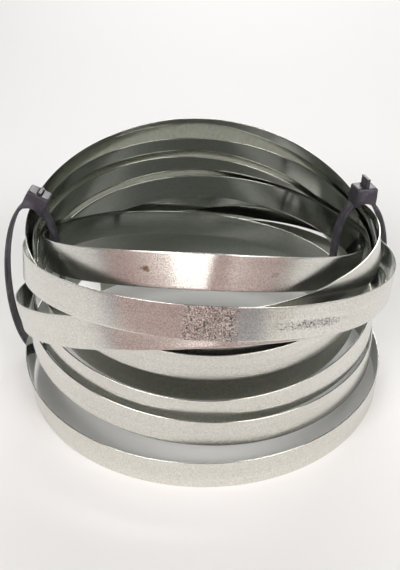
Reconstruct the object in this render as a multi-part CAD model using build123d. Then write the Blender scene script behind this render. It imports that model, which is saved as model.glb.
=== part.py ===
from build123d import *

import os
from math import atan2, cos, degrees, hypot, pi, radians, sin, sqrt

from scipy.interpolate import CubicSpline

# A loose hank of flat resistance strip, held by two cable ties. Millimetres, Z up.
# The strip is one length: it starts inside, winds outwards turn over turn, and its last turn lies on the floor.

# Strip
STRIP_WIDTH = 10.0
STRIP_THICKNESS = 0.4
INNER_RADIUS = 51.8
TURN_GAP = 0.8
STRIP_LEAN = 0.75

# Height of the strip's middle line at the back, left, front and right of each turn, innermost turn first,
# in strip widths
LAID_HEIGHTS = [
    (2.8, 2.9, 3.0, 2.9),
    (3.0, 4.95, 7.0, 4.8),
    (4.7, 4.0, 3.1, 3.65),
    (5.45, 4.9, 4.3, 4.8),
    (6.2, 5.35, 4.05, 5.0),
    (6.9, 5.6, 5.5, 5.5),
    (4.0, 3.6, 2.6, 3.0),
    (2.45, 2.6, 1.85, 1.8),
    (1.55, 2.7, 5.7, 3.5),
    (2.4, 4.8, 6.0, 4.2),
    (3.0, 1.2, 0.6, 0.6),
]
FRONT_SHARE = 0.5
QUARTER = 0.25

# Places where a turn stands out of the even spiral, or is drawn in: turn counted from the first front, and how
# far, in turn pitches
BULGES = [
    (1.36, -0.2),
    (4.55, 2.4),
    (4.92, 0.3),
    (5.28, 0.6),
    (6.75, 0.5),
    (7.76, 2.3),
    (8.47, 1.2),
    (8.75, -2.0),
    (9.25, 1.2),
    (9.5, 2.0),
]
BULGE_REACH = 0.24

# The strip begins a little past the first front. Its last turns are loose, fall to the floor and lie on it
LEAD_TURNS = 0.04
LOOSE_TURNS = 1.5
FALL_TURNS = 0.42
FLOOR_TURNS = 0.7

# Cable ties
TIE_WIDTH = 4.8
TIE_THICKNESS = 1.2
TIE_CLEARANCE = 0.3
HEAD_LENGTH = 8.0
HEAD_WIDTH = 6.8
HEAD_HEIGHT = 5.6
HEAD_ROUNDING = 0.7
HEAD_BEVEL = 0.4
SLOT_ROOM = 0.3
SLOT_DEPTH = 1.6
LEFT_TIE_AZIMUTH = 176.0
RIGHT_TIE_AZIMUTH = 13.0
LEFT_HEAD_TURN = 20.0
RIGHT_HEAD_TURN = -12.0
LEFT_TAIL = 0.8
RIGHT_TAIL = 3.2

# Fineness of the strip's lines
SPANS_PER_TURN = 6
POINTS_PER_SPAN = 3
SLOPE_STEP = 0.001

TURN_PITCH = STRIP_THICKNESS + TURN_GAP
INNER_END = LEAD_TURNS
LEAVES_BUNDLE = len(LAID_HEIGHTS) - LOOSE_TURNS
MEETS_FLOOR = LEAVES_BUNDLE + FALL_TURNS
OUTER_END = MEETS_FLOOR + FLOOR_TURNS
laid = [height * STRIP_WIDTH for turn in LAID_HEIGHTS for height in turn]
laid_line = CubicSpline([QUARTER * i - FRONT_SHARE for i in range(len(laid))], laid, bc_type="natural")


def ease(share):
    """Smooth step from 0 to 1, with no slope and no bend at either end."""
    share = min(max(share, 0.0), 1.0)
    return share**3 * (share * (6 * share - 15) + 10)


def strip_height(turn):
    """Height of the strip's middle line: as laid, then down to the floor at the outer end."""
    down = ease((turn - LEAVES_BUNDLE) / (MEETS_FLOOR - LEAVES_BUNDLE))
    if down == 1.0:
        return STRIP_WIDTH / 2
    return (1 - down) * float(laid_line(turn)) + down * STRIP_WIDTH / 2


def strip_radius(turn):
    """Radius of the strip's inner face: an even spiral with a few bulges."""
    radius = INNER_RADIUS + TURN_PITCH * turn
    for place, amount in BULGES:
        share = abs(turn - place) / BULGE_REACH
        if share < 1:
            radius += amount * TURN_PITCH * cos(pi / 2 * share) ** 2
    return radius


def strip_point(turn, across, depth):
    """Point of the strip. Its face leans with the bend of its line, as a strip that bends only the easy way."""
    angle = 2 * pi * turn - pi / 2
    radius = strip_radius(turn)
    before, here, after = (strip_height(turn + step) for step in (-SLOPE_STEP, 0, SLOPE_STEP))
    slope = (after - before) / (2 * SLOPE_STEP) / (2 * pi) / radius
    bend = STRIP_LEAN * (after - 2 * here + before) / SLOPE_STEP**2 / (2 * pi) ** 2 / radius
    outward = Vector(cos(angle), sin(angle), 0)
    along = Vector(-sin(angle), cos(angle), 0)
    up = Vector(0, 0, 1)
    width_way = (outward * bend - along * slope + up).normalized()
    face_way = (outward - up * bend).normalized()
    return outward * radius + up * here + width_way * across + face_way * depth


def corner_line(turns, across, depth):
    """One long edge of the strip over a span."""
    ends = []
    for turn in (turns[0], turns[-1]):
        after = strip_point(turn + SLOPE_STEP, across, depth)
        before = strip_point(turn - SLOPE_STEP, across, depth)
        ends.append((after - before).normalized())
    return Edge.make_spline([strip_point(turn, across, depth) for turn in turns], tangents=ends)


def span_stations(start, end):
    """Stations of the spans from start to end, about SPANS_PER_TURN to a turn."""
    count = max(1, round((end - start) * SPANS_PER_TURN))
    size = (end - start) / count
    steps = POINTS_PER_SPAN - 1
    return [[start + size * (i + j / steps) for j in range(POINTS_PER_SPAN)] for i in range(count)]


def make_strip():
    """The whole strip as one solid: four long sides span by span, and a cut face at each end."""
    half = STRIP_WIDTH / 2
    corners = [(-half, 0), (half, 0), (half, STRIP_THICKNESS), (-half, STRIP_THICKNESS)]
    flat_from = MEETS_FLOOR + 3 * SLOPE_STEP
    laid_spans = span_stations(INNER_END, flat_from)
    floor_spans = span_stations(flat_from, OUTER_END)
    faces = []
    for turns in laid_spans + floor_spans:
        lines = [corner_line(turns, *corner) for corner in corners]
        for i, line in enumerate(lines):
            beside = lines[(i + 1) % len(lines)]
            narrow = corners[i][0] == corners[(i + 1) % len(corners)][0]
            if narrow and turns in floor_spans:
                first = Edge.make_line(line @ 0, beside @ 0)
                last = Edge.make_line(line @ 1, beside @ 1)
                faces.append(Face(Wire([line, first, beside, last])))
            else:
                faces.append(Face.make_surface_from_curves(line, beside))
    for turn in (INNER_END, OUTER_END):
        rim = [strip_point(turn, *corner) for corner in corners]
        faces.append(Face(Wire.make_polygon(rim, close=True)))
    return Solid(Shell(faces))


def bundle_corners(azimuth, last_turn):
    """Corners of the strip's sections within a tie's width at an azimuth, as (radius, height)."""
    places = []
    turn = azimuth / 360 + QUARTER - 1
    while turn < last_turn:
        reach = (TIE_WIDTH + STRIP_WIDTH / 2) / 2 / (2 * pi * strip_radius(turn))
        for near in (turn - reach, turn - reach / 2, turn, turn + reach / 2, turn + reach):
            if INNER_END <= near <= OUTER_END:
                for across in (-STRIP_WIDTH / 2, STRIP_WIDTH / 2):
                    for depth in (0, STRIP_THICKNESS):
                        point = strip_point(near, across, depth)
                        places.append((hypot(point.X, point.Y), point.Z))
        turn += 1
    return places


def make_tie(azimuth, last_turn, head_turn, tail):
    """A cable tie: an oval loop from the lowest to the highest strip edge, wide enough for the rest, and its head."""
    places = bundle_corners(azimuth, last_turn)
    low = min(places, key=lambda place: place[1])
    high = max(places, key=lambda place: place[1])
    middle = ((low[0] + high[0]) / 2, (low[1] + high[1]) / 2)
    lean = atan2(low[0] - high[0], high[1] - low[1])
    spread = []
    for radius, height in places:
        aside = (radius - middle[0]) * cos(lean) + (height - middle[1]) * sin(lean)
        along = (height - middle[1]) * cos(lean) - (radius - middle[0]) * sin(lean)
        spread.append((abs(aside), abs(along)))
    tall = max(along for aside, along in spread) + TIE_CLEARANCE
    wide = max(aside / sqrt(1 - (along / tall) ** 2) for aside, along in spread) + TIE_CLEARANCE
    turn = radians(azimuth)
    upright = Plane((0, 0, 0), x_dir=(cos(turn), sin(turn), 0), z_dir=(sin(turn), -cos(turn), 0))
    loop_plane = upright * Location((middle[0], middle[1], 0), (0, 0, degrees(lean)))
    band = extrude(Ellipse(wide + TIE_THICKNESS, tall + TIE_THICKNESS), TIE_WIDTH / 2, both=True)
    inside = extrude(Ellipse(wide, tall), HEAD_WIDTH, both=True)
    # The head sits on top of the band, turned about it, where the band's own normal has the same turn
    swing = -radians(head_turn) - lean
    share = atan2(wide * sin(swing), tall * cos(swing))
    seat = Pos(wide * sin(share), tall * cos(share)) * Rot(0, 0, -degrees(swing))
    head_block = Box(HEAD_LENGTH, HEAD_HEIGHT + TIE_THICKNESS, HEAD_WIDTH)
    head = Pos(0, (HEAD_HEIGHT - TIE_THICKNESS) / 2) * head_block
    head = fillet(head.edges().filter_by(Axis.Y), HEAD_ROUNDING)
    head = chamfer(head.faces().sort_by(Axis.Y)[-1].edges(), HEAD_BEVEL)
    slot_length = TIE_THICKNESS + 2 * SLOT_ROOM
    slot = Pos(0, HEAD_HEIGHT - SLOT_DEPTH / 2) * Box(slot_length, SLOT_DEPTH, TIE_WIDTH + 2 * SLOT_ROOM)
    stub = Pos(0, HEAD_HEIGHT + (tail - SLOT_DEPTH) / 2) * Box(TIE_THICKNESS, SLOT_DEPTH + tail, TIE_WIDTH)
    tie = band + seat * head - inside
    tie = tie - seat * slot + seat * stub
    return loop_plane * tie


os.makedirs("parts", exist_ok=True)
pieces = {
    "resistance_strip": make_strip(),
    "cable_tie_left": make_tie(LEFT_TIE_AZIMUTH, OUTER_END, LEFT_HEAD_TURN, LEFT_TAIL),
    "cable_tie_right": make_tie(RIGHT_TIE_AZIMUTH, LEAVES_BUNDLE, RIGHT_HEAD_TURN, RIGHT_TAIL),
}
for name, piece in pieces.items():
    export_step(piece, f"parts/{name}.step")
    print(name, round(piece.volume, 1), "mm3", piece.bounding_box().size)
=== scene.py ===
"""A loose hank of flat resistance strip, held by two cable ties: its looks, its light and its camera."""

import logging
from dataclasses import dataclass
from enum import Enum
from math import atan2, cos, pi, radians, sin, sqrt, tau
from typing import Any

import bmesh
import bpy
import numpy as np
from mathutils import Matrix, Vector


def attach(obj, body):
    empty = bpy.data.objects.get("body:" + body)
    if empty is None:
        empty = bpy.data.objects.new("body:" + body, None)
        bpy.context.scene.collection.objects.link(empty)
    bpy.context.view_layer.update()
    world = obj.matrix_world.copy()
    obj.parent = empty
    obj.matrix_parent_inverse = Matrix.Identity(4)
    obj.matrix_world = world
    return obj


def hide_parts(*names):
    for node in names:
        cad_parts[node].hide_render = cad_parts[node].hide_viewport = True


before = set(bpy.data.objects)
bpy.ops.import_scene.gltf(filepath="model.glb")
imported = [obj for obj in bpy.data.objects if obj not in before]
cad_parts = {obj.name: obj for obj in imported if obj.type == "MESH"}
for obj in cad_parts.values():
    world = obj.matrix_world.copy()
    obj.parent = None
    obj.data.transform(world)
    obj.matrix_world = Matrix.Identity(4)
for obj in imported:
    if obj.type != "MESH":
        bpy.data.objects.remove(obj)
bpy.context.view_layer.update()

LOG = logging.getLogger("hank")
MM = 0.001
IMAGE_HEIGHT = 570
SENSOR = 36.0
CORNER_SIGNS = ((1, 1), (-1, 1), (-1, -1), (1, -1))

Socket = bpy.types.NodeSocket
Colour = tuple[float, float, float, float]
Point = tuple[float, float, float]
Pair = tuple[float, float]
Values = dict[str, np.ndarray]


class Slot(Enum):
    """Material slots of the record."""

    STRIP = "strip"
    TIE = "tie"


class Graph:
    """Adds nodes to a shader or geometry tree and links them."""

    def __init__(self, tree: bpy.types.NodeTree) -> None:
        """Keeps the tree that the nodes go into."""
        self.tree = tree

    def connect(self, node: bpy.types.Node, inputs: dict[Any, Any]) -> None:
        """Gives a node its inputs.

        Args:
            node: the node.
            inputs: a value or a socket for each input, by name or number.
        """
        for name, value in inputs.items():
            if isinstance(value, Socket):
                self.tree.links.new(value, node.inputs[name])
            else:
                node.inputs[name].default_value = value

    def add(self, kind: str, inputs: dict[Any, Any] | None = None, **settings: Any) -> bpy.types.Node:
        """Adds one node.

        Args:
            kind: the node's type name.
            inputs: a value or a socket for each input, by name or number.
            **settings: the node's own properties.

        Returns:
            The new node.
        """
        node = self.tree.nodes.new(kind)
        for name, value in settings.items():
            setattr(node, name, value)
        self.connect(node, inputs or {})
        return node

    def math(self, operation: str, first: Any, second: Any = 0.0, third: Any = 0.0) -> Socket:
        """Adds a Math node of up to three numbers or sockets and returns its result."""
        inputs = {0: first, 1: second, 2: third}
        return self.add("ShaderNodeMath", inputs, operation=operation).outputs[0]

    def plus(self, first: Any, second: Any) -> Socket:
        """Adds a Math node that sums two numbers and returns its result."""
        return self.math("ADD", first, second)

    def times(self, first: Any, second: Any) -> Socket:
        """Adds a Math node that multiplies two numbers and returns its result."""
        return self.math("MULTIPLY", first, second)

    def varied(self, noise: Socket, middle: float, reach: float) -> Socket:
        """Adds a Math node that spreads a noise over a reach about a middle value and returns it."""
        return self.math("MULTIPLY_ADD", noise, reach, middle - reach / 2)

    def xyz(self, x: Any = 0.0, y: Any = 0.0, z: Any = 0.0) -> Socket:
        """Adds a Combine XYZ node and returns its vector."""
        return self.add("ShaderNodeCombineXYZ", {0: x, 1: y, 2: z}).outputs[0]

    def vector(self, operation: str, first: Any, second: Any = (0.0, 0.0, 0.0)) -> Socket:
        """Adds a Vector Math node of two vectors and returns its vector."""
        return self.add("ShaderNodeVectorMath", {0: first, 1: second}, operation=operation).outputs[0]

    def scaled(self, vector: Any, scale: Any) -> Socket:
        """Adds a Vector Math node that scales a vector and returns its vector."""
        return self.add("ShaderNodeVectorMath", {0: vector, "Scale": scale}, operation="SCALE").outputs[0]

    def ramp(self, value: Socket, low: float, high: float, start: float = 0.0, end: float = 1.0) -> Socket:
        """Adds a smooth Map Range node, from start at low to end at high, and returns its result."""
        inputs = {0: value, 1: low, 2: high, 3: start, 4: end}
        return self.add("ShaderNodeMapRange", inputs, interpolation_type="SMOOTHSTEP").outputs[0]

    def blend(self, share: Any, first: Any, second: Any) -> Socket:
        """Adds a Mix node that lays a share of the second colour over the first, and returns the mix."""
        inputs = {0: share, 6: first, 7: second}
        return self.add("ShaderNodeMix", inputs, data_type="RGBA").outputs[2]

    def noise(
        self, vector: Socket, scale: float, detail: float = 2.0, roughness: float = 0.5, bend: float = 0.0
    ) -> Socket:
        """Adds a Noise Texture.

        Args:
            vector: its coordinates.
            scale: its scale.
            detail: its octaves.
            roughness: how strong the finer octaves are.
            bend: how far it is bent out of shape.

        Returns:
            The noise's socket.
        """
        inputs = {"Vector": vector, "Scale": scale, "Detail": detail, "Roughness": roughness}
        inputs["Distortion"] = bend
        return self.add("ShaderNodeTexNoise", inputs).outputs[0]

    def colours(self, value: Socket, stops: tuple[tuple[float, Colour], ...]) -> Socket:
        """Adds a Color Ramp node.

        Args:
            value: where on the ramp, from 0 to 1.
            stops: each stop's place and colour, in order.

        Returns:
            The colour's socket.
        """
        node = self.add("ShaderNodeValToRGB", {0: value})
        steps = node.color_ramp.elements
        while len(steps) < len(stops):
            steps.new(1.0)
        for step, (place, colour) in zip(steps, stops):
            step.position = place
            step.color = colour
        return node.outputs[0]

    def place(self) -> Socket:
        """Adds a Texture Coordinate node to a shader tree and returns its Object coordinates."""
        return self.add("ShaderNodeTexCoord").outputs["Object"]

    def attribute(self, name: str) -> Socket:
        """Adds an Attribute node to a shader tree and returns its number."""
        return self.add("ShaderNodeAttribute", attribute_name=name).outputs["Fac"]

    def named(self, name: str, data_type: str = "FLOAT") -> Socket:
        """Adds a Named Attribute node to a geometry tree and returns its value."""
        return self.add("GeometryNodeInputNamedAttribute", {"Name": name}, data_type=data_type).outputs[0]


def new_material(name: str) -> tuple[bpy.types.Material, Graph, bpy.types.Node]:
    """Makes a node material with a Principled shader.

    Args:
        name: the material's name.

    Returns:
        The material, its graph and the shader node.
    """
    material = bpy.data.materials.new(name)
    material.use_nodes = True
    material.node_tree.nodes.clear()
    graph = Graph(material.node_tree)
    shader = graph.add("ShaderNodeBsdfPrincipled")
    graph.add("ShaderNodeOutputMaterial", {"Surface": shader.outputs[0]})
    return material, graph, shader


@dataclass(frozen=True)
class Mark:
    """A mark's place and half sizes on the strip's outer face, along in turns and across in metres."""

    turn: float
    across: float
    half_length: float
    half_width: float
    ragged: float
    square: bool = False


@dataclass(frozen=True)
class Stain:
    """One colour of a mark, with the heights of the crust's ridges between which it fades in."""

    colour: Colour
    ridges: Pair
    cover: float
    dullness: float = 0.0


@dataclass(frozen=True)
class RolledBright:
    """Bright cold-rolled strip: fine lengthwise lines, a speckled grain, a pitted patch and a few marks, with
    painted shade on its inner face.
    """

    outer_colour: Colour = (0.728, 0.716, 0.668, 1.0)
    # Painted shade: the inner face is darker and greener than the outer face to stand for the shade inside
    # the coil, though both faces are the same metal.
    inner_painted_shade: Colour = (0.40, 0.42, 0.38, 1.0)
    patch: Mark = Mark(9.004, 0.0, 0.0188, 5.3 * MM, 0.45, square=True)
    pits: Stain = Stain((0.11, 0.098, 0.095, 1.0), (0.03, 0.10), 0.9)
    crumbs: Stain = Stain((0.98, 0.93, 0.87, 1.0), (0.055, 0.02), 0.95)
    scuff: Mark = Mark(9.078, -0.9 * MM, 0.026, 1.3 * MM, 2.8)
    scuff_stain: Stain = Stain((0.12, 0.115, 0.11, 1.0), (0.075, 0.03), 0.95)
    fleck: Mark = Mark(1.059, -0.1 * MM, 0.0044, 0.7 * MM, 2.6)
    fleck_stain: Stain = Stain((0.10, 0.048, 0.018, 1.0), (0.11, 0.05), 0.4)
    rust: Mark = Mark(0.9525, 0.2 * MM, 0.0036, 0.95 * MM, 2.6)
    rust_stain: Stain = Stain((0.10, 0.048, 0.018, 1.0), (0.15, 0.09), 0.95, dullness=0.35)
    rim_scale: float = 1400.0
    line_pitch: float = 0.16 * MM
    line_length: float = 45 * MM
    streaks_along: float = 9.0
    streaks_across: float = 420.0
    side_shift: float = 7.3
    grain_size: float = 0.38 * MM
    crust_size: float = 1.12 * MM
    cloud_scale: float = 60.0
    middle_tone: float = 0.97
    line_tone: float = 0.22
    streak_tone: float = 0.12
    grain_tone: float = 0.17
    roughness: float = 0.21
    rough_reach: float = 0.08
    patch_dullness: float = 0.10
    inner_polish: float = -0.09
    anisotropy: float = 0.6
    anisotropy_turn: float = 0.25
    line_height: float = 0.4
    grain_height: float = 0.6
    crust_height: float = 5.0
    bump_strength: float = 0.2
    bump_depth: float = 0.02 * MM

    def mask(self, graph: Graph, mark: Mark) -> Socket:
        """Masks one mark on the outer face of the strip, with a ragged rim.

        Args:
            graph: the material's graph.
            mark: the mark.

        Returns:
            The mask's socket, 1 inside and 0 outside.
        """
        rim = graph.varied(graph.noise(graph.place(), self.rim_scale, 4.0, 0.65), 0.0, mark.ragged)
        along = graph.math("SUBTRACT", graph.attribute("turn"), mark.turn)
        along = graph.math("DIVIDE", along, mark.half_length)
        across = graph.math("SUBTRACT", graph.attribute("across"), mark.across)
        across = graph.math("DIVIDE", across, mark.half_width)
        if mark.square:
            away = graph.math("MAXIMUM", graph.math("ABSOLUTE", along), graph.math("ABSOLUTE", across))
        else:
            both = graph.xyz(along, across)
            away = graph.add("ShaderNodeVectorMath", {0: both}, operation="LENGTH").outputs["Value"]
        near = graph.ramp(graph.plus(away, rim), 1.1, 0.9)
        outside = graph.ramp(graph.attribute("side"), -0.2, 0.2)
        return graph.times(near, outside)

    def stretched(self, graph: Graph, along: float, across: float) -> Socket:
        """Gives coordinates that follow the strip, different on its two faces.

        Args:
            graph: the material's graph.
            along: their scale along the strip, per metre.
            across: their scale across it, per metre.

        Returns:
            The coordinates' socket.
        """
        shift = graph.times(graph.attribute("side"), self.side_shift)
        length = graph.times(graph.attribute("along"), along)
        return graph.xyz(length, graph.times(graph.attribute("across"), across), shift)

    def make(self) -> bpy.types.Material:
        """Builds the material.

        Returns:
            The material.
        """
        material, graph, shader = new_material("rolled_bright_strip")
        side = graph.attribute("side")
        place = graph.place()
        lines = graph.noise(self.stretched(graph, 1 / self.line_length, 1 / self.line_pitch), 1.0, 2.0, 0.6)
        streaks = graph.noise(self.stretched(graph, self.streaks_along, self.streaks_across), 1.0)
        grain = graph.noise(place, 1 / self.grain_size, 2.0, 0.7)
        cloud = graph.noise(place, self.cloud_scale, 3.0, 0.6)
        crust = graph.noise(place, 1 / self.crust_size, 1.6, 0.55, 2.4)
        ridge = graph.math("ABSOLUTE", graph.math("SUBTRACT", crust, 0.5))
        patch = self.mask(graph, self.patch)

        tone = graph.varied(lines, self.middle_tone, self.line_tone)
        tone = graph.plus(tone, graph.varied(streaks, 0.0, self.streak_tone))
        tone = graph.plus(tone, graph.ramp(grain, 0.32, 0.68, -self.grain_tone, self.grain_tone))
        # Painted shade: the inner face takes the darker, greener colour, which stands for the shade inside
        # the coil.
        bare_with_painted_shade = graph.blend(graph.ramp(side, -0.5, 0.5), self.inner_painted_shade, self.outer_colour)
        colour = graph.scaled(bare_with_painted_shade, tone)
        rough = graph.varied(lines, self.roughness, self.rough_reach)
        rough = graph.plus(rough, graph.varied(cloud, 0.0, self.rough_reach))
        rough = graph.plus(rough, graph.times(patch, self.patch_dullness))
        rough = graph.plus(rough, graph.ramp(side, 0.5, -0.5, 0.0, self.inner_polish))

        layers = (
            (patch, self.pits),
            (patch, self.crumbs),
            (self.mask(graph, self.scuff), self.scuff_stain),
            (self.mask(graph, self.fleck), self.fleck_stain),
            (self.mask(graph, self.rust), self.rust_stain),
        )
        for mask, stain in layers:
            share = graph.times(mask, graph.ramp(ridge, *stain.ridges))
            colour = graph.blend(graph.times(share, stain.cover), colour, stain.colour)
            if stain.dullness > 0:
                rough = graph.plus(rough, graph.times(share, stain.dullness))

        height = graph.math("MULTIPLY_ADD", lines, self.line_height, graph.times(grain, self.grain_height))
        height = graph.plus(height, graph.times(patch, graph.times(crust, self.crust_height)))
        relief = {"Strength": self.bump_strength, "Distance": self.bump_depth, "Height": height}
        inputs = {
            "Base Color": colour,
            "Metallic": 1.0,
            "Roughness": rough,
            "Normal": graph.add("ShaderNodeBump", relief).outputs[0],
            "Anisotropic": self.anisotropy,
            "Anisotropic Rotation": self.anisotropy_turn,
            "Tangent": graph.add("ShaderNodeTangent", direction_type="RADIAL", axis="Z").outputs[0],
        }
        graph.connect(shader, inputs)
        return material


@dataclass(frozen=True)
class SatinNylon:
    """Black moulded nylon with a soft sheen, a fine moulded grain and paler rubbed spots."""

    colour: Colour = (0.034, 0.030, 0.040, 1.0)
    rubbed_colour: Colour = (0.085, 0.08, 0.095, 1.0)
    roughness: float = 0.42
    rough_reach: float = 0.22
    grain_scale: float = 2600.0
    cloud_scale: float = 240.0
    bump_strength: float = 0.18
    bump_depth: float = 0.05 * MM

    def make(self) -> bpy.types.Material:
        """Builds the material.

        Returns:
            The material.
        """
        material, graph, shader = new_material("satin_black_nylon")
        place = graph.place()
        grain = graph.noise(place, self.grain_scale, 3.0, 0.6)
        cloud = graph.noise(place, self.cloud_scale, 4.0, 0.6)
        relief = {"Strength": self.bump_strength, "Distance": self.bump_depth, "Height": grain}
        inputs = {
            "Base Color": graph.blend(graph.ramp(cloud, 0.45, 0.75), self.colour, self.rubbed_colour),
            "Roughness": graph.varied(cloud, self.roughness, self.rough_reach),
            "Normal": graph.add("ShaderNodeBump", relief).outputs[0],
        }
        graph.connect(shader, inputs)
        return material


@dataclass(frozen=True)
class PaleFloor:
    """Smooth pale studio floor."""

    colour: Colour = (0.86, 0.86, 0.85, 1.0)
    roughness: float = 0.7
    cloud_scale: float = 1.5
    shade_reach: float = 0.03

    def make(self) -> bpy.types.Material:
        """Builds the material.

        Returns:
            The material.
        """
        material, graph, shader = new_material("pale_floor")
        shade = graph.varied(graph.noise(graph.place(), self.cloud_scale), 1.0, self.shade_reach)
        colour = graph.scaled(self.colour[:3], shade)
        graph.connect(shader, {"Base Color": colour, "Roughness": self.roughness})
        return material


def new_object(name: str, data: bpy.types.ID | None) -> bpy.types.Object:
    """Makes an object and links it to the scene.

    Args:
        name: the object's name.
        data: its mesh, light or camera.

    Returns:
        The object.
    """
    made = bpy.data.objects.new(name, data)
    bpy.context.scene.collection.objects.link(made)
    return made


def line_object(name: str, points: np.ndarray, closed: bool, values: Values) -> bpy.types.Object:
    """Makes a mesh of points joined in a row, with values on its points.

    Args:
        name: the object's name.
        points: the points, one row each.
        closed: whether the last point joins the first.
        values: a number or a vector for each point, by attribute name.

    Returns:
        The object, linked to the scene.
    """
    count = len(points)
    edges = [(i, i + 1) for i in range(count - 1)] + ([(count - 1, 0)] if closed else [])
    mesh = bpy.data.meshes.new(name)
    mesh.from_pydata([tuple(p) for p in points], edges, [])
    for key, value in values.items():
        flat = value.ndim == 1
        attribute = mesh.attributes.new(key, "FLOAT" if flat else "FLOAT_VECTOR", "POINT")
        attribute.data.foreach_set("value" if flat else "vector", value.astype(np.float32).ravel())
    return new_object(name, mesh)


def corner_arc(corner: int, reach: Pair, rounding: float, steps: int) -> list[Pair]:
    """Gives one rounded corner of an oblong about the origin.

    Args:
        corner: which corner, counted as in CORNER_SIGNS.
        reach: half the oblong's two sizes.
        rounding: the corner's radius.
        steps: how many steps the arc has.

    Returns:
        The arc's points.
    """
    sign_x, sign_y = CORNER_SIGNS[corner]
    arc = []
    for step in range(steps + 1):
        angle = pi / 2 * (corner + step / steps)
        x = sign_x * (reach[0] - rounding) + rounding * cos(angle)
        y = sign_y * (reach[1] - rounding) + rounding * sin(angle)
        arc.append((x, y))
    return arc


def add_prism(work: bmesh.types.BMesh, ends: list[list[Point]]) -> None:
    """Adds a closed prism to a mesh.

    Args:
        work: the mesh.
        ends: the outlines of the prism's two ends, point for point.
    """
    first, last = ([work.verts.new(point) for point in end] for end in ends)
    work.faces.new(first)
    work.faces.new(list(reversed(last)))
    for i in range(len(first)):
        j = (i + 1) % len(first)
        work.faces.new((first[j], first[i], last[i], last[j]))


class SweepTree:
    """A geometry tree with named inputs that ends in Realize Instances and Set Material."""

    def __init__(self, name: str) -> None:
        """Starts the tree with its geometry input.

        Args:
            name: the tree's name.
        """
        self.tree = bpy.data.node_groups.new(name, "GeometryNodeTree")
        self.graph = Graph(self.tree)
        for way in ("INPUT", "OUTPUT"):
            self.tree.interface.new_socket("Geometry", in_out=way, socket_type="NodeSocketGeometry")
        self.start = self.graph.add("NodeGroupInput")
        self.identifiers: dict[str, str] = {}

    def size(self, name: str, kind: str = "NodeSocketFloat") -> Socket:
        """Adds a named input.

        Args:
            name: the input's name.
            kind: its socket type.

        Returns:
            The socket to link from.
        """
        made = self.tree.interface.new_socket(name, in_out="INPUT", socket_type=kind)
        self.identifiers[name] = made.identifier
        return self.start.outputs[name]

    def skin(self, line: Socket, outward: Socket, section: Socket, capped: bool) -> Socket:
        """Sweeps a section along a curve, shaded smooth.

        Args:
            line: the curve.
            outward: the way that the section's X axis points.
            section: the object that holds the section's line.
            capped: whether the ends are closed.

        Returns:
            The swept mesh's socket.
        """
        graph = self.graph
        turned = graph.add("GeometryNodeSetCurveNormal", {"Curve": line, "Normal": outward}, mode="FREE")
        shape = graph.add("GeometryNodeObjectInfo", {"Object": section}).outputs["Geometry"]
        rim = graph.add("GeometryNodeMeshToCurve", {0: shape}).outputs[0]
        inputs = {"Curve": turned.outputs[0], "Profile Curve": rim, "Fill Caps": capped}
        swept = graph.add("GeometryNodeCurveToMesh", inputs).outputs[0]
        return graph.add("GeometryNodeSetShadeSmooth", {0: swept, "Shade Smooth": True}).outputs[0]

    def end(self, geometry: Socket) -> None:
        """Finishes the tree.

        Args:
            geometry: what the tree has made.
        """
        material = self.size("Finish", "NodeSocketMaterial")
        whole = self.graph.add("GeometryNodeRealizeInstances", {0: geometry}).outputs[0]
        dressed = self.graph.add("GeometryNodeSetMaterial", {"Geometry": whole, "Material": material})
        self.graph.add("NodeGroupOutput", {0: dressed.outputs[0]})

    def run(self, line: bpy.types.Object, name: str, values: dict[str, Any]) -> bpy.types.Object:
        """Runs the tree on a line and keeps the result as a plain mesh.

        Args:
            line: the object that the tree starts from, which is removed.
            name: the new piece's name.
            values: the value of each named input.

        Returns:
            The new piece, linked to the scene.
        """
        modifier = line.modifiers.new("sweep", "NODES")
        modifier.node_group = self.tree
        for key, value in values.items():
            modifier[self.identifiers[key]] = value
        line.update_tag()
        seen = line.evaluated_get(bpy.context.evaluated_depsgraph_get())
        mesh = bpy.data.meshes.new_from_object(seen)
        mesh.name = name
        line.modifiers.remove(modifier)
        bpy.data.objects.remove(line)
        return new_object(name, mesh)


def outward_normals(mesh: bpy.types.Mesh) -> None:
    """Turns all faces of a closed mesh outwards.

    Args:
        mesh: the mesh to mend.
    """
    work = bmesh.new()
    work.from_mesh(mesh)
    bmesh.ops.recalc_face_normals(work, faces=work.faces)
    work.to_mesh(mesh)
    work.free()


def seat(piece: bpy.types.Object, node: str) -> None:
    """Lets a finished piece stand for its CAD node and reports it.

    Args:
        piece: the finished piece.
        node: the CAD node that it stands for.
    """
    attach(piece, "root")
    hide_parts(node)
    LOG.info("%s: %d faces", piece.name, len(piece.data.polygons))


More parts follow.
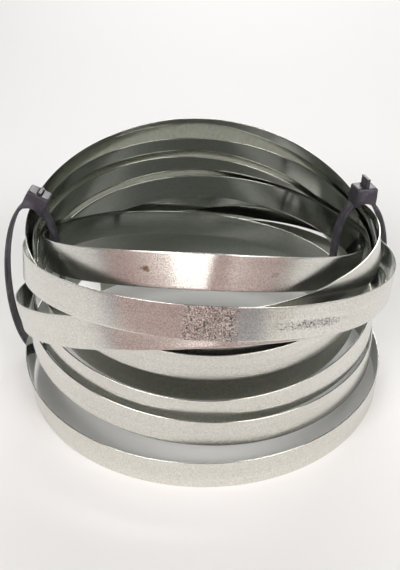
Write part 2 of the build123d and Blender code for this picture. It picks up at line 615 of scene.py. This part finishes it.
@dataclass
class ResistanceStrip:
    """The strip: one length that winds outwards turn over turn and ends on the floor."""

    width: float = 10.0 * MM
    thickness: float = 0.4 * MM
    inner_radius: float = 51.8 * MM
    turn_pitch: float = 1.2 * MM
    lean: float = 0.75
    edge_rounding: float = 0.15 * MM
    edge_steps: int = 4
    laid_heights: tuple[tuple[float, float, float, float], ...] = (
        (2.8, 2.9, 3.0, 2.9), (3.0, 4.95, 7.0, 4.8), (4.7, 4.0, 3.1, 3.65), (5.45, 4.9, 4.3, 4.8),
        (6.2, 5.35, 4.05, 5.0), (6.9, 5.6, 5.5, 5.5), (4.0, 3.6, 2.6, 3.0), (2.45, 2.6, 1.85, 1.8),
        (1.55, 2.7, 5.7, 3.5), (2.4, 4.8, 6.0, 4.2), (3.0, 1.2, 0.6, 0.6),
    )
    bulges: tuple[Pair, ...] = (
        (1.36, -0.2), (4.55, 2.4), (4.92, 0.3), (5.28, 0.6), (6.75, 0.5),
        (7.76, 2.3), (8.47, 1.2), (8.75, -2.0), (9.25, 1.2), (9.5, 2.0),
    )
    bulge_reach: float = 0.24
    front_share: float = 0.5
    quarter: float = 0.25
    lead_turns: float = 0.04
    loose_turns: float = 1.5
    fall_turns: float = 0.42
    floor_turns: float = 0.7
    stations_per_turn: int = 120
    slope_step: float = 0.001

    def laid_line(self, turns: np.ndarray) -> np.ndarray:
        """Gives the natural cubic line through the laid heights.

        Args:
            turns: places along the strip, in turns from the first front.

        Returns:
            The heights there, in metres.
        """
        heights = np.array(self.laid_heights).ravel() * self.width
        count, step = len(heights), self.quarter
        system = np.eye(count)
        known = np.zeros(count)
        known[1:-1] = 6 * np.diff(heights, 2) / step**2
        for i in range(1, count - 1):
            system[i, i - 1 : i + 2] = (1, 4, 1)
        bends = np.linalg.solve(system, known)
        share = (turns + self.front_share) / step
        at = np.clip(share.astype(int), 0, count - 2)
        after = share - at
        before = 1 - after
        straight = before * heights[at] + after * heights[at + 1]
        curve = (before**3 - before) * bends[at] + (after**3 - after) * bends[at + 1]
        return straight + curve * step**2 / 6

    def height(self, turns: np.ndarray) -> np.ndarray:
        """Gives the height of the strip's middle line, down to the floor at its outer end.

        Args:
            turns: places along the strip, in turns.

        Returns:
            The heights there, in metres.
        """
        share = np.clip((turns - self.leaves_bundle()) / self.fall_turns, 0, 1)
        down = share**3 * (share * (6 * share - 15) + 10)
        return (1 - down) * self.laid_line(turns) + down * self.width / 2

    def swell(self, turns: np.ndarray) -> np.ndarray:
        """Gives how far the strip stands out from its even spiral.

        Args:
            turns: places along the strip, in turns.

        Returns:
            The distances, in metres.
        """
        out = np.zeros_like(turns)
        for place, amount in self.bulges:
            share = np.clip(np.abs(turns - place) / self.bulge_reach, 0, 1)
            out += amount * self.turn_pitch * np.cos(pi / 2 * share) ** 2
        return out

    def leaves_bundle(self) -> float:
        """Gives the turn at which the strip leaves the bundle."""
        return len(self.laid_heights) - self.loose_turns

    def outer_end(self) -> float:
        """Gives the turn at which the strip ends."""
        return self.leaves_bundle() + self.fall_turns + self.floor_turns

    def radius(self, turns: np.ndarray) -> np.ndarray:
        """Gives the radius of the strip's inner face at places along it, in turns."""
        return self.inner_radius + self.turn_pitch * turns + self.swell(turns)

    def shape(self, turns: np.ndarray) -> tuple[np.ndarray, np.ndarray]:
        """Gives the slope of the strip's line and the lean of its face, which follows the line's bend.

        Args:
            turns: places along the strip, in turns.

        Returns:
            The slopes and the leans.
        """
        before, here, after = (self.height(turns + s) for s in (-self.slope_step, 0.0, self.slope_step))
        step = tau * self.slope_step
        radius = self.radius(turns)
        slope = (after - before) / (2 * step) / radius
        bend = self.lean * (after - 2 * here + before) / step**2 / radius
        return slope, bend

    def corners(self, turns: np.ndarray) -> np.ndarray:
        """Gives the four corners of the strip's section.

        Args:
            turns: places along the strip, in turns.

        Returns:
            Each corner's distance from the coil's axis and its height, one row each.
        """
        slope, bend = self.shape(turns)
        width_size = np.sqrt(1 + slope**2 + bend**2)
        face_size = np.sqrt(1 + bend**2)
        rows = []
        for across in (-self.width / 2, self.width / 2):
            for depth in (0.0, self.thickness):
                out = self.radius(turns) + across * bend / width_size + depth / face_size
                along = -across * slope / width_size
                up = self.height(turns) + across / width_size - depth * bend / face_size
                rows.append(np.stack([np.hypot(out, along), up], 1))
        return np.concatenate(rows)

    def path(self) -> bpy.types.Object:
        """Makes the row of stations, each with its turn, height, swell and bend.

        Returns:
            The line object.
        """
        count = round((self.outer_end() - self.lead_turns) * self.stations_per_turn) + 1
        turns = np.linspace(self.lead_turns, self.outer_end(), count)
        bend = self.shape(turns)[1]
        values = {"turn": turns, "height": self.height(turns), "swell": self.swell(turns), "bend": bend}
        return line_object("strip_path", np.zeros((count, 3)), False, values)

    def section(self) -> bpy.types.Object:
        """Makes the strip's section: a flat bar with rolled, rounded edges.

        Returns:
            The line object, with each point's place across the strip and its side.
        """
        half_width, half_depth = self.width / 2, self.thickness / 2
        inset = half_width - 4 * self.edge_rounding
        points = []
        for corner, (sign_x, sign_y) in enumerate(CORNER_SIGNS):
            points += corner_arc(corner, (half_depth, half_width), self.edge_rounding, self.edge_steps)
            if corner in (1, 3):
                points += [(sign_x * half_depth, sign_y * inset * share) for share in (1.0, 0.0, -1.0)]
        rim = np.array([(x, y, 0.0) for x, y in points])
        values = {"across": -rim[:, 1], "side": rim[:, 0] / half_depth}
        return line_object("strip_section", rim, True, values)

    def sweep(self) -> SweepTree:
        """Makes the geometry tree that lays the section along the spiral.

        Returns:
            The tree.
        """
        sweep = SweepTree("strip_sweep")
        graph = sweep.graph
        inner, pitch, depth = (sweep.size(n) for n in ("Inner Radius", "Turn Pitch", "Thickness"))
        section = sweep.size("Section", "NodeSocketObject")
        turn = graph.named("turn")
        angle = graph.math("MULTIPLY_ADD", turn, tau, -pi / 2)
        outward = graph.xyz(graph.math("COSINE", angle), graph.math("SINE", angle))
        radius = graph.plus(graph.math("MULTIPLY_ADD", turn, pitch, inner), graph.named("swell"))
        tilt = graph.xyz(0.0, 0.0, graph.named("bend"))
        face_way = graph.vector("NORMALIZE", graph.vector("SUBTRACT", outward, tilt))
        height = graph.xyz(0.0, 0.0, graph.named("height"))
        inner_line = graph.vector("ADD", graph.scaled(outward, radius), height)
        place = graph.vector("ADD", inner_line, graph.scaled(face_way, graph.times(depth, 0.5)))
        laid = graph.add("GeometryNodeSetPosition", {"Geometry": sweep.start.outputs[0], "Position": place})
        line = graph.add("GeometryNodeMeshToCurve", {0: laid.outputs[0]}).outputs[0]
        length = graph.add("GeometryNodeSplineParameter").outputs["Length"]
        kept = {"Geometry": line, "Name": "along", "Value": length}
        store = graph.add("GeometryNodeStoreNamedAttribute", kept, data_type="FLOAT", domain="POINT")
        sweep.end(sweep.skin(store.outputs[0], face_way, section, capped=True))
        return sweep

    def build(self, finish: bpy.types.Material) -> bpy.types.Object:
        """Builds the strip and dresses it.

        Args:
            finish: the strip's material.

        Returns:
            The finished piece.
        """
        section = self.section()
        values = {"Inner Radius": self.inner_radius, "Turn Pitch": self.turn_pitch}
        values |= {"Thickness": self.thickness, "Section": section, "Finish": finish}
        piece = self.sweep().run(self.path(), "flat_strip", values)
        bpy.data.objects.remove(section)
        outward_normals(piece.data)
        seat(piece, "resistance_strip")
        return piece


@dataclass
class CableTie:
    """One nylon tie: an oval strap with a toothed inner face, and a head with its slot and trimmed tail."""

    name: str
    node: str
    strip: ResistanceStrip
    last_turn: float
    azimuth: float
    head_turn: float
    tail: float
    strap_width: float = 4.8 * MM
    strap_depth: float = 1.2 * MM
    strap_edge: float = 0.18 * MM
    strap_crown: float = 0.10 * MM
    clearance: float = 0.3 * MM
    track_depth: float = 0.34 * MM
    track_foot: float = 0.08 * MM
    track_lip: float = 0.04 * MM
    rail_width: float = 0.6 * MM
    tooth_pitch: float = 1.15 * MM
    tooth_reach: float = 0.42 * MM
    tooth_tip: Pair = (0.24 * MM, 0.40 * MM)
    tooth_level: float = 0.06 * MM
    tooth_root: float = 0.05 * MM
    tooth_room: float = 0.1 * MM
    head_length: float = 8.0 * MM
    head_width: float = 6.8 * MM
    head_height: float = 5.6 * MM
    head_rounding: float = 0.8 * MM
    head_taper: float = 0.12 * MM
    head_foot: float = 0.05 * MM
    corner_steps: int = 5
    side_steps: int = 12
    slot_room: float = 0.3 * MM
    slot_depth: float = 1.6 * MM
    slot_lip: float = 0.2 * MM
    slot_soft: float = 0.06 * MM
    slot_rounding: float = 0.25 * MM
    tail_edge: float = 0.15 * MM
    tail_root: float = 0.1 * MM
    tail_tooth_pitch: float = 0.92 * MM
    tail_tooth_room: float = 0.5 * MM
    tail_tooth_drop: float = 0.1 * MM
    tail_tooth_rise: float = 0.15 * MM
    path_points: int = 160
    dense_points: int = 4000
    sharp_angle: float = 38.0
    middle: Pair = (0.0, 0.0)
    lean: float = 0.0
    wide: float = 0.0
    tall: float = 0.0

    def __post_init__(self) -> None:
        """Fits the oval round the turns, from the lowest to the highest edge and wide enough for the rest."""
        strip = self.strip
        near = []
        turn = self.azimuth / 360 + strip.quarter - 1
        while turn < self.last_turn:
            reach = (self.strap_width + strip.width / 2) / 2 / (tau * strip.radius(np.array([turn]))[0])
            near += [turn + reach * share for share in (-1.0, -0.5, 0.0, 0.5, 1.0)]
            turn += 1
        turns = np.array([t for t in near if strip.lead_turns <= t <= strip.outer_end()])
        places = strip.corners(turns)
        low, high = places[places[:, 1].argmin()], places[places[:, 1].argmax()]
        self.middle = tuple((low + high) / 2)
        self.lean = atan2(low[0] - high[0], high[1] - low[1])
        away = places - (low + high) / 2
        aside = np.abs(away[:, 0] * cos(self.lean) + away[:, 1] * sin(self.lean))
        along = np.abs(away[:, 1] * cos(self.lean) - away[:, 0] * sin(self.lean))
        self.tall = along.max() + self.clearance
        self.wide = (aside / np.sqrt(1 - (along / self.tall) ** 2)).max() + self.clearance

    def frame(self) -> Matrix:
        """Gives the place of the oval's own plane in the row's frame.

        Returns:
            The plane's matrix.
        """
        turn = radians(self.azimuth)
        rows = ((cos(turn), 0, sin(turn), 0), (sin(turn), 0, -cos(turn), 0), (0, 1, 0, 0), (0, 0, 0, 1))
        middle = Matrix.Translation((self.middle[0], self.middle[1], 0.0))
        return Matrix(rows) @ middle @ Matrix.Rotation(self.lean, 4, "Z")

    def head_frame(self) -> Matrix:
        """Gives the head's place on the oval, where the oval's own normal has the head's turn.

        Returns:
            The head's matrix, in the oval's plane.
        """
        swing = -radians(self.head_turn) - self.lean
        share = atan2(self.wide * sin(swing), self.tall * cos(swing))
        spot = Matrix.Translation((self.wide * sin(share), self.tall * cos(share), 0.0))
        return spot @ Matrix.Rotation(-swing, 4, "Z")

    def loop(self) -> bpy.types.Object:
        """Makes the oval line that the strap's inner face follows, with its outward direction.

        Its points lie closer together where the oval bends more.

        Returns:
            The line object.
        """
        share = np.linspace(0, tau, self.dense_points, endpoint=False)
        dense = np.stack([self.wide * np.sin(share), self.tall * np.cos(share)], 1)
        gaps = np.linalg.norm(np.roll(dense, -1, 0) - dense, axis=1)
        heading = np.unwrap(np.arctan2(self.wide * np.cos(share), self.tall * np.sin(share)))
        curve = np.abs(np.gradient(heading))
        weight = np.cumsum(gaps / gaps.sum() + curve / curve.sum())
        at = np.interp(np.linspace(0, weight[-1], self.path_points, endpoint=False), weight, share)
        points = np.stack([self.wide * np.sin(at), self.tall * np.cos(at), 0 * at], 1)
        outward = np.stack([np.sin(at) / self.wide, np.cos(at) / self.tall, 0 * at], 1)
        outward /= np.linalg.norm(outward, axis=1, keepdims=True)
        return line_object(self.name + "_loop", points, True, {"outward": outward})

    def strap_section(self) -> bpy.types.Object:
        """Makes the strap's section: a crowned back, two rails and the toothed track between them.

        Returns:
            The line object.
        """
        half, depth = self.strap_width / 2, self.strap_depth
        edge, crown = self.strap_edge, self.strap_crown
        track = half - self.rail_width
        right = [
            (self.track_depth, track - self.track_foot),
            (0.0, track + self.track_lip),
            (0.0, half - 1.7 * edge),
            (edge * 0.3, half - edge),
            (edge, half - edge * 0.3),
            (depth * 0.5, half),
            (depth - crown - edge, half - edge * 0.3),
            (depth - crown - edge * 0.3, half - edge),
            (depth - crown * 0.5, half - 4 * edge),
            (depth, half * 0.45),
        ]
        left = [(x, -y) for x, y in reversed(right)]
        rim = np.array([(x, y, 0.0) for x, y in right + left])
        return line_object(self.name + "_section", rim, True, {})

    def tooth(self) -> bpy.types.Object:
        """Makes one ratchet tooth, a low wedge across the track.

        Returns:
            The tooth, which points along X, with the track's outward way along Z.
        """
        half = self.strap_width / 2 - self.rail_width - self.tooth_room
        low, high = self.track_depth + self.tooth_root, self.tooth_level
        inner, outer = self.tooth_tip
        outline = [(-self.tooth_reach, low), (self.tooth_reach, low), (outer, high), (inner, high)]
        work = bmesh.new()
        add_prism(work, [[(x, y, z) for x, z in outline] for y in (-half, half)])
        bmesh.ops.recalc_face_normals(work, faces=work.faces)
        mesh = bpy.data.meshes.new(self.name + "_tooth")
        work.to_mesh(mesh)
        work.free()
        return new_object(self.name + "_tooth", mesh)

    def sweep(self) -> SweepTree:
        """Makes the geometry tree that sweeps the strap and sets its teeth.

        Returns:
            The tree.
        """
        sweep = SweepTree(self.name + "_strap")
        graph = sweep.graph
        pitch = sweep.size("Tooth Pitch")
        section = sweep.size("Section", "NodeSocketObject")
        tooth = sweep.size("Tooth", "NodeSocketObject")
        line = graph.add("GeometryNodeMeshToCurve", {0: sweep.start.outputs[0]}).outputs[0]
        outward = graph.named("outward", "FLOAT_VECTOR")
        strap = sweep.skin(line, outward, section, capped=False)
        spaced = graph.add("GeometryNodeResampleCurve", {"Curve": line, "Length": pitch}, mode="LENGTH")
        ways = {0: outward, 1: graph.add("GeometryNodeInputTangent").outputs[0]}
        turned = graph.add("FunctionNodeAxesToRotation", ways, primary_axis="Z", secondary_axis="X")
        shape = graph.add("GeometryNodeObjectInfo", {"Object": tooth}).outputs["Geometry"]
        row = {"Points": spaced.outputs[0], "Instance": shape, "Rotation": turned.outputs[0]}
        teeth = graph.add("GeometryNodeInstanceOnPoints", row).outputs[0]
        joined = graph.add("GeometryNodeJoinGeometry")
        for geometry in (teeth, strap):
            graph.connect(joined, {0: geometry})
        sweep.end(joined.outputs[0])
        return sweep

    def rounded_rim(self, length: float, width: float, rounding: float) -> list[Pair]:
        """Gives a rounded oblong, the same number of points for every size.

        Args:
            length: its size along X.
            width: its size along Z.
            rounding: its corners' radius.

        Returns:
            The points, as (x, z), in order round it.
        """
        rim = []
        for corner, (sign_x, sign_z) in enumerate(CORNER_SIGNS):
            rim += corner_arc(corner, (length / 2, width / 2), rounding, self.corner_steps)
            if corner in (0, 2):
                start = sign_x * (length / 2 - rounding)
                for step in range(1, self.side_steps):
                    rim.append((start * (1 - 2 * step / self.side_steps), sign_z * width / 2))
        return rim

    def under(self, x: float) -> float:
        """Gives the lowest height, at a place along the head, that keeps it outside the oval."""
        share = min(abs(x) / self.wide, 0.999)
        return max(self.tall * (sqrt(1 - share**2) - 1) + self.head_foot, -self.strap_depth)

    def head_rims(self) -> list[list[Point]]:
        """Gives the rims of the head from its foot up its sides, over its top and down into its slot.

        Returns:
            The rims, each with the same number of points.
        """
        top, rounding, taper = self.head_height, self.head_rounding, self.head_taper
        sides = [(0.0, None), (0.0, 0.35 * top), (taper, top - rounding)]
        for angle in (0.4, 0.8, 1.2, pi / 2):
            sides.append((taper + rounding * (1 - cos(angle)), top - rounding * (1 - sin(angle))))
        rims = []
        for inset, level in sides:
            length, width = self.head_length - 2 * inset, self.head_width - 2 * inset
            rim = self.rounded_rim(length, width, rounding * 0.9)
            rims.append([(x, self.under(x) if level is None else level, z) for x, z in rim])
        slot_length = self.strap_depth + 2 * self.slot_room
        slot_width = self.strap_width + 2 * self.slot_room
        walls = [(self.slot_lip, top), (self.slot_soft, top - self.slot_soft)]
        walls += [(0.0, top - self.slot_lip), (0.0, top - self.slot_depth)]
        for grow, level in walls:
            rim = self.rounded_rim(slot_length + 2 * grow, slot_width + 2 * grow, self.slot_rounding)
            rims.append([(x, level, z) for x, z in rim])
        return rims

    def head_mesh(self) -> bmesh.types.BMesh:
        """Builds the head: a rounded block on the strap, its slot and the strap's trimmed end in the slot.

        Returns:
            The head, in its own frame.
        """
        work = bmesh.new()
        rings = [[work.verts.new(point) for point in rim] for rim in self.head_rims()]
        count = len(rings[0])
        for low, high in zip(rings, rings[1:]):
            for i in range(count):
                j = (i + 1) % count
                work.faces.new((low[i], low[j], high[j], high[i]))
        start = 2 * (self.corner_steps + 1) + self.side_steps - 1
        for ring in (rings[0], rings[-1]):
            for i in range(count // 2 - 1):
                a, b = (start + i) % count, (start + i + 1) % count
                c, d = (start - 2 - i) % count, (start - 1 - i) % count
                if len({a, b, c, d}) == 4:
                    work.faces.new((ring[a], ring[b], ring[c], ring[d]))
        self.add_tail(work)
        bmesh.ops.remove_doubles(work, verts=work.verts, dist=1e-7)
        bmesh.ops.recalc_face_normals(work, faces=work.faces)
        return work

    def add_tail(self, work: bmesh.types.BMesh) -> None:
        """Adds the strap's trimmed end, which stands in the slot, with its teeth on one side.

        Args:
            work: the head's mesh.
        """
        half_depth, half_width, edge = self.strap_depth / 2, self.strap_width / 2, self.tail_edge
        low = self.head_height - self.slot_depth - self.tail_root
        high = self.head_height + self.tail
        outline = [(half_depth, low), (half_depth, high - edge), (half_depth - edge, high)]
        outline += [(-half_depth + edge, high), (-half_depth, high - edge)]
        level = high - 3 * edge
        while level - self.tail_tooth_room > low:
            root = (-half_depth + self.track_depth, level - self.tail_tooth_drop)
            outline += [(-half_depth, level), root]
            level -= self.tail_tooth_pitch
            outline.append((-half_depth, level + self.tail_tooth_rise))
        outline.append((-half_depth, low))
        add_prism(work, [[(x, y, z) for x, y in outline] for z in (-half_width, half_width)])

    def build(self, finish: bpy.types.Material) -> bpy.types.Object:
        """Builds the tie and dresses it.

        Args:
            finish: the tie's material.

        Returns:
            The finished piece.
        """
        section, tooth = self.strap_section(), self.tooth()
        values = {"Tooth Pitch": self.tooth_pitch, "Section": section, "Tooth": tooth, "Finish": finish}
        piece = self.sweep().run(self.loop(), self.name, values)
        bpy.data.objects.remove(section)
        bpy.data.objects.remove(tooth)
        work = self.head_mesh()
        bmesh.ops.transform(work, matrix=self.head_frame(), verts=work.verts)
        work.from_mesh(piece.data)
        bmesh.ops.recalc_face_normals(work, faces=work.faces)
        bmesh.ops.transform(work, matrix=self.frame(), verts=work.verts)
        for face in work.faces:
            face.material_index = 0
        work.to_mesh(piece.data)
        work.free()
        piece.data.materials.clear()
        piece.data.materials.append(finish)
        piece.data.shade_smooth()
        piece.data.set_sharp_from_angle(angle=radians(self.sharp_angle))
        seat(piece, self.node)
        return piece


@dataclass(frozen=True)
class Lamp:
    """One soft lamp: its place, aim and size in metres, its power in watts and its spread in degrees."""

    name: str
    place: Point
    aim: Point
    size: Pair
    power: float
    colour: tuple[float, float, float]
    spread: float = 180.0

    def hang(self) -> None:
        """Hangs the lamp."""
        data = bpy.data.lights.new(self.name, "AREA")
        data.shape = "RECTANGLE"
        data.size, data.size_y = self.size
        data.energy = self.power
        data.color = self.colour
        data.spread = radians(self.spread)
        made = new_object(self.name, data)
        made.location = self.place
        made.rotation_euler = (Vector(self.aim) - Vector(self.place)).to_track_quat("-Z", "Y").to_euler()


@dataclass
class Studio:
    """A pale floor, soft lamps, the light of the room and the camera."""

    floor_corners: tuple[Pair, ...] = ((-1.1, -0.17), (1.1, -0.17), (1.1, 2.0), (-1.1, 2.0))
    camera_place: Point = (-1.0 * MM, -216.5 * MM, 168.0 * MM)
    camera_pitch: float = 32.0
    focal_pixels: float = 715.0
    clip_start: float = 5 * MM
    pale_wall: Colour = (0.70, 0.69, 0.635, 1.0)
    dim_wall: Colour = (0.29, 0.33, 0.37, 1.0)
    warm_wall: Colour = (0.474, 0.343, 0.328, 1.0)
    sky_high: Colour = (0.07, 0.072, 0.075, 1.0)
    walls: tuple[float, ...] = (-125.0, -112.0, -84.0, -70.0, 68.0, 82.0, 112.0, 125.0)
    low_band: Pair = (-0.10, -0.24)
    low_turn: float = 18.0
    low_narrowing: float = 1.3
    high_band: Pair = (0.40, 0.85)
    lamps: tuple[Lamp, ...] = (
        Lamp("left_lamp", (-0.55, -0.75, 0.68), (0.0, 0.10, 0.0), (0.7, 0.45), 1.75, (1.0, 0.99, 0.98), 80.0),
        Lamp("right_lamp", (0.65, -0.70, 0.68), (0.0, 0.10, 0.0), (0.7, 0.45), 1.5, (1.0, 0.99, 0.98), 80.0),
        Lamp("back_lamp", (0.12, 1.50, 0.75), (0.02, 0.35, 0.0), (1.2, 0.5), 4.9, (1.0, 1.0, 1.0), 100.0),
        Lamp("front_lamp", (-0.10, -0.95, 0.44), (0.0, 0.0, 0.06), (0.44, 0.15), 0.75, (1.0, 0.99, 0.985)),
    )

    def floor(self) -> None:
        """Lays the floor."""
        mesh = bpy.data.meshes.new("floor")
        mesh.from_pydata([(x, y, 0.0) for x, y in self.floor_corners], [], [(0, 1, 2, 3)])
        mesh.materials.append(PaleFloor().make())
        made = new_object("floor", mesh)

    def sky(self) -> None:
        """Makes the light of the room: a warm wall in front, dim corners, pale walls behind, a dark ceiling.

        Below eye level, the walls are turned and drawn together.
        """
        world = bpy.data.worlds.new("room")
        bpy.context.scene.world = world
        world.use_nodes = True
        world.node_tree.nodes.clear()
        graph = Graph(world.node_tree)
        way = graph.add("ShaderNodeTexCoord").outputs["Generated"]
        axes = graph.add("ShaderNodeSeparateXYZ", {0: way}).outputs
        turn = graph.math("ARCTAN2", axes[0], graph.times(axes[1], -1.0))
        pale, dim, warm = self.pale_wall, self.dim_wall, self.warm_wall
        shades = (pale, dim, dim, warm, warm, dim, dim, pale)
        stops = tuple((0.5 + angle / 360, shade) for angle, shade in zip(self.walls, shades))
        low = graph.ramp(axes[2], *self.low_band)
        turn = graph.math("MULTIPLY_ADD", low, radians(self.low_turn), turn)
        turn = graph.times(turn, graph.math("MULTIPLY_ADD", low, self.low_narrowing, 1.0))
        wall = graph.colours(graph.math("MULTIPLY_ADD", turn, 1 / tau, 0.5), stops)
        room = graph.blend(graph.ramp(axes[2], *self.high_band), wall, self.sky_high)
        light = graph.add("ShaderNodeBackground", {"Color": room})
        graph.add("ShaderNodeOutputWorld", {"Surface": light.outputs[0]})

    def camera(self) -> None:
        """Sets the camera at the photograph's angle."""
        data = bpy.data.cameras.new("camera")
        data.sensor_width = SENSOR
        data.lens = self.focal_pixels * SENSOR / IMAGE_HEIGHT
        data.clip_start = self.clip_start
        made = new_object("camera", data)
        made.location = self.camera_place
        made.rotation_euler = (pi / 2 - radians(self.camera_pitch), 0.0, 0.0)
        bpy.context.scene.camera = made

    def build(self) -> None:
        """Builds the whole studio."""
        self.camera()
        self.floor()
        self.sky()
        for lamp in self.lamps:
            lamp.hang()
        bpy.context.scene.view_settings.view_transform = "Standard"


def main() -> None:
    """Builds the hank, its ties and the studio."""
    logging.basicConfig(level=logging.INFO, format="%(name)s: %(message)s")
    Studio().build()
    strip = ResistanceStrip()
    strip.build(RolledBright().make())
    nylon = SatinNylon().make()
    ties = (
        CableTie("left_tie", "cable_tie_left", strip, strip.outer_end(), 176.0, 20.0, 0.8 * MM),
        CableTie("right_tie", "cable_tie_right", strip, strip.leaves_bundle(), 13.0, -12.0, 3.2 * MM),
    )
    for tie in ties:
        tie.build(nylon)


if __name__ == "__main__":
    main()
